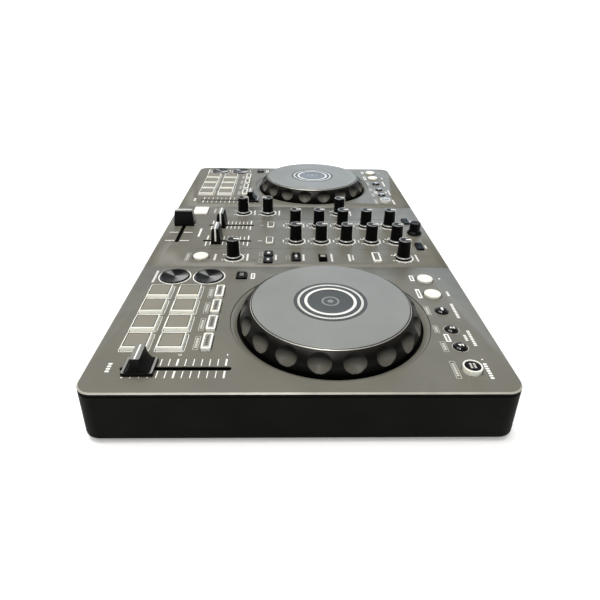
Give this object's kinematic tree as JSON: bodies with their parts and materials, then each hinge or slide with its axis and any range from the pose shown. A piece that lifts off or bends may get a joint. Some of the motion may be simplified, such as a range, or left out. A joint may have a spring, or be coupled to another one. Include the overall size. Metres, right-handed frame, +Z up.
{
  "type": "dj controller",
  "caption": "Flat two-deck DJ controller with jog wheels, pads, faders, knobs and keys that turn, slide and press in a thin tray case.",
  "frame": {"origin": "centre of the case's footprint, on the surface that the feet stand on", "axes": "+X along the width to the right-hand deck, +Y to the back with the sockets, +Z up"},
  "size_m": [0.4826, 0.2724, 0.0587],
  "materials": {
    "panel": "warm grey satin panel with a very fine grain",
    "case": "black fine-grain plastic tray",
    "knob": "black satin rubberised plastic with white pointer lines",
    "jog_rim": "black satin plastic with round finger dimples",
    "jog_plate": "blue-grey satin touch plate",
    "pad": "grey rubber tops on translucent white bases",
    "white_key": "translucent white plastic",
    "black_key": "black gloss plastic",
    "spun_metal": "dark spun metal face",
    "shaft": "plain steel shaft",
    "board": "green circuit board",
    "socket": "dark socket housings"
  },
  "bodies": {
    "root": {"top_panel": "panel", "bottom_case": "case", "main_board": "board", "socket_board": "socket"},
    "channel_1_trim_knob": {"channel_1_trim_knob": "knob"},
    "channel_1_high_knob": {"channel_1_high_knob": "knob"},
    "channel_1_mid_knob": {"channel_1_mid_knob": "knob"},
    "channel_1_low_knob": {"channel_1_low_knob": "knob"},
    "channel_1_filter_knob": {"channel_1_filter_knob": "knob"},
    "channel_2_trim_knob": {"channel_2_trim_knob": "knob"},
    "channel_2_high_knob": {"channel_2_high_knob": "knob"},
    "channel_2_mid_knob": {"channel_2_mid_knob": "knob"},
    "channel_2_low_knob": {"channel_2_low_knob": "knob"},
    "channel_2_filter_knob": {"channel_2_filter_knob": "knob"},
    "master_level_knob": {"master_level_knob": "knob"},
    "headphone_mix_knob": {"headphone_mix_knob": "knob"},
    "headphone_level_knob": {"headphone_level_knob": "knob"},
    "microphone_level_knob": {"microphone_level_knob": "knob"},
    "effect_level_knob": {"effect_level_knob": "knob"},
    "browse_shaft": {"browse_shaft": "shaft"},
    "browse_knob": {"browse_knob": "knob"},
    "left_jog": {"left_jog_wheel": "jog_rim", "left_jog_plate": "jog_plate"},
    "left_pad_mat": {"left_pad_mat": "pad"},
    "left_pad_mode_keys": {"left_pad_mode_keys": "white_key"},
    "left_cue_button": {"left_cue_button": "spun_metal"},
    "left_play_button": {"left_play_button": "spun_metal"},
    "left_shift_button": {"left_shift_button": "black_key"},
    "left_loop_in_button": {"left_loop_in_button": "white_key"},
    "left_loop_out_button": {"left_loop_out_button": "white_key"},
    "left_beat_loop_button": {"left_beat_loop_button": "black_key"},
    "left_call_keys": {"left_call_keys": "black_key"},
    "left_sync_button": {"left_sync_button": "white_key"},
    "left_tempo_fader_cap": {"left_tempo_fader_cap": "knob"},
    "right_jog": {"right_jog_wheel": "jog_rim", "right_jog_plate": "jog_plate"},
    "right_pad_mat": {"right_pad_mat": "pad"},
    "right_pad_mode_keys": {"right_pad_mode_keys": "white_key"},
    "right_cue_button": {"right_cue_button": "spun_metal"},
    "right_play_button": {"right_play_button": "spun_metal"},
    "right_shift_button": {"right_shift_button": "black_key"},
    "right_loop_in_button": {"right_loop_in_button": "white_key"},
    "right_loop_out_button": {"right_loop_out_button": "white_key"},
    "right_beat_loop_button": {"right_beat_loop_button": "black_key"},
    "right_call_keys": {"right_call_keys": "black_key"},
    "right_sync_button": {"right_sync_button": "white_key"},
    "right_tempo_fader_cap": {"right_tempo_fader_cap": "knob"},
    "load_1_button": {"load_1_button": "black_key"},
    "load_2_button": {"load_2_button": "black_key"},
    "channel_1_cue_button": {"channel_1_cue_button": "black_key"},
    "channel_2_cue_button": {"channel_2_cue_button": "black_key"},
    "smart_filter_button": {"smart_filter_button": "white_key"},
    "effect_select_button": {"effect_select_button": "black_key"},
    "smart_fader_button": {"smart_fader_button": "white_key"},
    "beat_keys": {"beat_keys": "black_key"},
    "effect_on_off_button": {"effect_on_off_button": "white_key"},
    "channel_select_switch": {"channel_select_switch": "knob"},
    "channel_1_fader_cap": {"channel_1_fader_cap": "knob"},
    "channel_2_fader_cap": {"channel_2_fader_cap": "knob"},
    "crossfader_cap": {"crossfader_cap": "knob"}
  },
  "joints": [
    {"name": "channel_1_trim_turn", "type": "hinge", "parent": "root", "child": "channel_1_trim_knob", "pos_m": [-0.0202, 0.099, 0.04], "axis": [0, 0, 1], "range_deg": [-150, 150]},
    {"name": "channel_1_high_turn", "type": "hinge", "parent": "root", "child": "channel_1_high_knob", "pos_m": [-0.0202, 0.074, 0.04], "axis": [0, 0, 1], "range_deg": [-150, 150]},
    {"name": "channel_1_mid_turn", "type": "hinge", "parent": "root", "child": "channel_1_mid_knob", "pos_m": [-0.0202, 0.049, 0.04], "axis": [0, 0, 1], "range_deg": [-150, 150]},
    {"name": "channel_1_low_turn", "type": "hinge", "parent": "root", "child": "channel_1_low_knob", "pos_m": [-0.0202, 0.024, 0.04], "axis": [0, 0, 1], "range_deg": [-150, 150]},
    {"name": "channel_1_filter_turn", "type": "hinge", "parent": "root", "child": "channel_1_filter_knob", "pos_m": [-0.0202, -0.001, 0.04], "axis": [0, 0, 1], "range_deg": [-150, 150]},
    {"name": "channel_2_trim_turn", "type": "hinge", "parent": "root", "child": "channel_2_trim_knob", "pos_m": [0.0202, 0.099, 0.04], "axis": [0, 0, 1], "range_deg": [-150, 150]},
    {"name": "channel_2_high_turn", "type": "hinge", "parent": "root", "child": "channel_2_high_knob", "pos_m": [0.0202, 0.074, 0.04], "axis": [0, 0, 1], "range_deg": [-150, 150]},
    {"name": "channel_2_mid_turn", "type": "hinge", "parent": "root", "child": "channel_2_mid_knob", "pos_m": [0.0202, 0.049, 0.04], "axis": [0, 0, 1], "range_deg": [-150, 150]},
    {"name": "channel_2_low_turn", "type": "hinge", "parent": "root", "child": "channel_2_low_knob", "pos_m": [0.0202, 0.024, 0.04], "axis": [0, 0, 1], "range_deg": [-150, 150]},
    {"name": "channel_2_filter_turn", "type": "hinge", "parent": "root", "child": "channel_2_filter_knob", "pos_m": [0.0202, -0.001, 0.04], "axis": [0, 0, 1], "range_deg": [-150, 150]},
    {"name": "master_level_turn", "type": "hinge", "parent": "root", "child": "master_level_knob", "pos_m": [-0.0575, 0.0488, 0.04], "axis": [0, 0, 1], "range_deg": [-150, 150]},
    {"name": "headphone_mix_turn", "type": "hinge", "parent": "root", "child": "headphone_mix_knob", "pos_m": [-0.0575, -0.0317, 0.04], "axis": [0, 0, 1], "range_deg": [-300, 0]},
    {"name": "headphone_level_turn", "type": "hinge", "parent": "root", "child": "headphone_level_knob", "pos_m": [-0.0575, -0.0592, 0.04], "axis": [0, 0, 1], "range_deg": [-150, 150]},
    {"name": "microphone_level_turn", "type": "hinge", "parent": "root", "child": "microphone_level_knob", "pos_m": [0.0575, 0.0984, 0.04], "axis": [0, 0, 1], "range_deg": [-150, 150]},
    {"name": "effect_level_turn", "type": "hinge", "parent": "root", "child": "effect_level_knob", "pos_m": [0.0575, -0.059, 0.04], "axis": [0, 0, 1], "range_deg": [-150, 150]},
    {"name": "browse_press", "type": "slide", "parent": "root", "child": "browse_shaft", "axis": [0, 0, -1], "range_m": [0, 0.0006], "stiffness_N_per_m": 400, "springref_m": -0.001},
    {"name": "browse_turn", "type": "hinge", "parent": "browse_shaft", "child": "browse_knob", "pos_m": [0, 0.1218, 0.04], "axis": [0, 0, 1], "continuous": true},
    {"name": "left_jog_turn", "type": "hinge", "parent": "root", "child": "left_jog", "pos_m": [-0.1606, 0.0225, 0.04], "axis": [0, 0, 1], "continuous": true},
    {"name": "left_pad_mat_press", "type": "slide", "parent": "root", "child": "left_pad_mat", "axis": [0, 0, -1], "range_m": [0, 0.001], "stiffness_N_per_m": 400, "springref_m": -0.001},
    {"name": "left_pad_mode_keys_press", "type": "slide", "parent": "root", "child": "left_pad_mode_keys", "axis": [0, 0, -1], "range_m": [0, 0.0006], "stiffness_N_per_m": 400, "springref_m": -0.001},
    {"name": "left_cue_press", "type": "slide", "parent": "root", "child": "left_cue_button", "axis": [0, 0, -1], "range_m": [0, 0.0006], "stiffness_N_per_m": 400, "springref_m": -0.001},
    {"name": "left_play_press", "type": "slide", "parent": "root", "child": "left_play_button", "axis": [0, 0, -1], "range_m": [0, 0.0006], "stiffness_N_per_m": 400, "springref_m": -0.001},
    {"name": "left_shift_press", "type": "slide", "parent": "root", "child": "left_shift_button", "axis": [0, 0, -1], "range_m": [0, 0.0006], "stiffness_N_per_m": 400, "springref_m": -0.001},
    {"name": "left_loop_in_press", "type": "slide", "parent": "root", "child": "left_loop_in_button", "axis": [0, 0, -1], "range_m": [0, 0.0006], "stiffness_N_per_m": 400, "springref_m": -0.001},
    {"name": "left_loop_out_press", "type": "slide", "parent": "root", "child": "left_loop_out_button", "axis": [0, 0, -1], "range_m": [0, 0.0006], "stiffness_N_per_m": 400, "springref_m": -0.001},
    {"name": "left_beat_loop_press", "type": "slide", "parent": "root", "child": "left_beat_loop_button", "axis": [0, 0, -1], "range_m": [0, 0.0006], "stiffness_N_per_m": 400, "springref_m": -0.001},
    {"name": "left_call_keys_press", "type": "slide", "parent": "root", "child": "left_call_keys", "axis": [0, 0, -1], "range_m": [0, 0.0006], "stiffness_N_per_m": 400, "springref_m": -0.001},
    {"name": "left_sync_press", "type": "slide", "parent": "root", "child": "left_sync_button", "axis": [0, 0, -1], "range_m": [0, 0.0006], "stiffness_N_per_m": 400, "springref_m": -0.001},
    {"name": "left_tempo_slide", "type": "slide", "parent": "root", "child": "left_tempo_fader_cap", "axis": [0, 1, 0], "range_m": [-0.0575, 0.0075]},
    {"name": "right_jog_turn", "type": "hinge", "parent": "root", "child": "right_jog", "pos_m": [0.1575, 0.0225, 0.04], "axis": [0, 0, 1], "continuous": true},
    {"name": "right_pad_mat_press", "type": "slide", "parent": "root", "child": "right_pad_mat", "axis": [0, 0, -1], "range_m": [0, 0.001], "stiffness_N_per_m": 400, "springref_m": -0.001},
    {"name": "right_pad_mode_keys_press", "type": "slide", "parent": "root", "child": "right_pad_mode_keys", "axis": [0, 0, -1], "range_m": [0, 0.0006], "stiffness_N_per_m": 400, "springref_m": -0.001},
    {"name": "right_cue_press", "type": "slide", "parent": "root", "child": "right_cue_button", "axis": [0, 0, -1], "range_m": [0, 0.0006], "stiffness_N_per_m": 400, "springref_m": -0.001},
    {"name": "right_play_press", "type": "slide", "parent": "root", "child": "right_play_button", "axis": [0, 0, -1], "range_m": [0, 0.0006], "stiffness_N_per_m": 400, "springref_m": -0.001},
    {"name": "right_shift_press", "type": "slide", "parent": "root", "child": "right_shift_button", "axis": [0, 0, -1], "range_m": [0, 0.0006], "stiffness_N_per_m": 400, "springref_m": -0.001},
    {"name": "right_loop_in_press", "type": "slide", "parent": "root", "child": "right_loop_in_button", "axis": [0, 0, -1], "range_m": [0, 0.0006], "stiffness_N_per_m": 400, "springref_m": -0.001},
    {"name": "right_loop_out_press", "type": "slide", "parent": "root", "child": "right_loop_out_button", "axis": [0, 0, -1], "range_m": [0, 0.0006], "stiffness_N_per_m": 400, "springref_m": -0.001},
    {"name": "right_beat_loop_press", "type": "slide", "parent": "root", "child": "right_beat_loop_button", "axis": [0, 0, -1], "range_m": [0, 0.0006], "stiffness_N_per_m": 400, "springref_m": -0.001},
    {"name": "right_call_keys_press", "type": "slide", "parent": "root", "child": "right_call_keys", "axis": [0, 0, -1], "range_m": [0, 0.0006], "stiffness_N_per_m": 400, "springref_m": -0.001},
    {"name": "right_sync_press", "type": "slide", "parent": "root", "child": "right_sync_button", "axis": [0, 0, -1], "range_m": [0, 0.0006], "stiffness_N_per_m": 400, "springref_m": -0.001},
    {"name": "right_tempo_slide", "type": "slide", "parent": "root", "child": "right_tempo_fader_cap", "axis": [0, 1, 0], "range_m": [-0.0102, 0.0548]},
    {"name": "load_1_press", "type": "slide", "parent": "root", "child": "load_1_button", "axis": [0, 0, -1], "range_m": [0, 0.0006], "stiffness_N_per_m": 400, "springref_m": -0.001},
    {"name": "load_2_press", "type": "slide", "parent": "root", "child": "load_2_button", "axis": [0, 0, -1], "range_m": [0, 0.0006], "stiffness_N_per_m": 400, "springref_m": -0.001},
    {"name": "channel_1_cue_press", "type": "slide", "parent": "root", "child": "channel_1_cue_button", "axis": [0, 0, -1], "range_m": [0, 0.0006], "stiffness_N_per_m": 400, "springref_m": -0.001},
    {"name": "channel_2_cue_press", "type": "slide", "parent": "root", "child": "channel_2_cue_button", "axis": [0, 0, -1], "range_m": [0, 0.0006], "stiffness_N_per_m": 400, "springref_m": -0.001},
    {"name": "smart_filter_press", "type": "slide", "parent": "root", "child": "smart_filter_button", "axis": [0, 0, -1], "range_m": [0, 0.0006], "stiffness_N_per_m": 400, "springref_m": -0.001},
    {"name": "effect_select_press", "type": "slide", "parent": "root", "child": "effect_select_button", "axis": [0, 0, -1], "range_m": [0, 0.0006], "stiffness_N_per_m": 400, "springref_m": -0.001},
    {"name": "smart_fader_press", "type": "slide", "parent": "root", "child": "smart_fader_button", "axis": [0, 0, -1], "range_m": [0, 0.0006], "stiffness_N_per_m": 400, "springref_m": -0.001},
    {"name": "beat_keys_press", "type": "slide", "parent": "root", "child": "beat_keys", "axis": [0, 0, -1], "range_m": [0, 0.0006], "stiffness_N_per_m": 400, "springref_m": -0.001},
    {"name": "effect_on_off_press", "type": "slide", "parent": "root", "child": "effect_on_off_button", "axis": [0, 0, -1], "range_m": [0, 0.0006], "stiffness_N_per_m": 400, "springref_m": -0.001},
    {"name": "channel_select_slide", "type": "slide", "parent": "root", "child": "channel_select_switch", "axis": [1, 0, 0], "range_m": [-0.0045, 0.0045]},
    {"name": "channel_1_fader_slide", "type": "slide", "parent": "root", "child": "channel_1_fader_cap", "axis": [0, 1, 0], "range_m": [-0.0114, 0.0316]},
    {"name": "channel_2_fader_slide", "type": "slide", "parent": "root", "child": "channel_2_fader_cap", "axis": [0, 1, 0], "range_m": [-0.0114, 0.0316]},
    {"name": "crossfader_slide", "type": "slide", "parent": "root", "child": "crossfader_cap", "axis": [1, 0, 0], "range_m": [0, 0.045]}
  ]
}
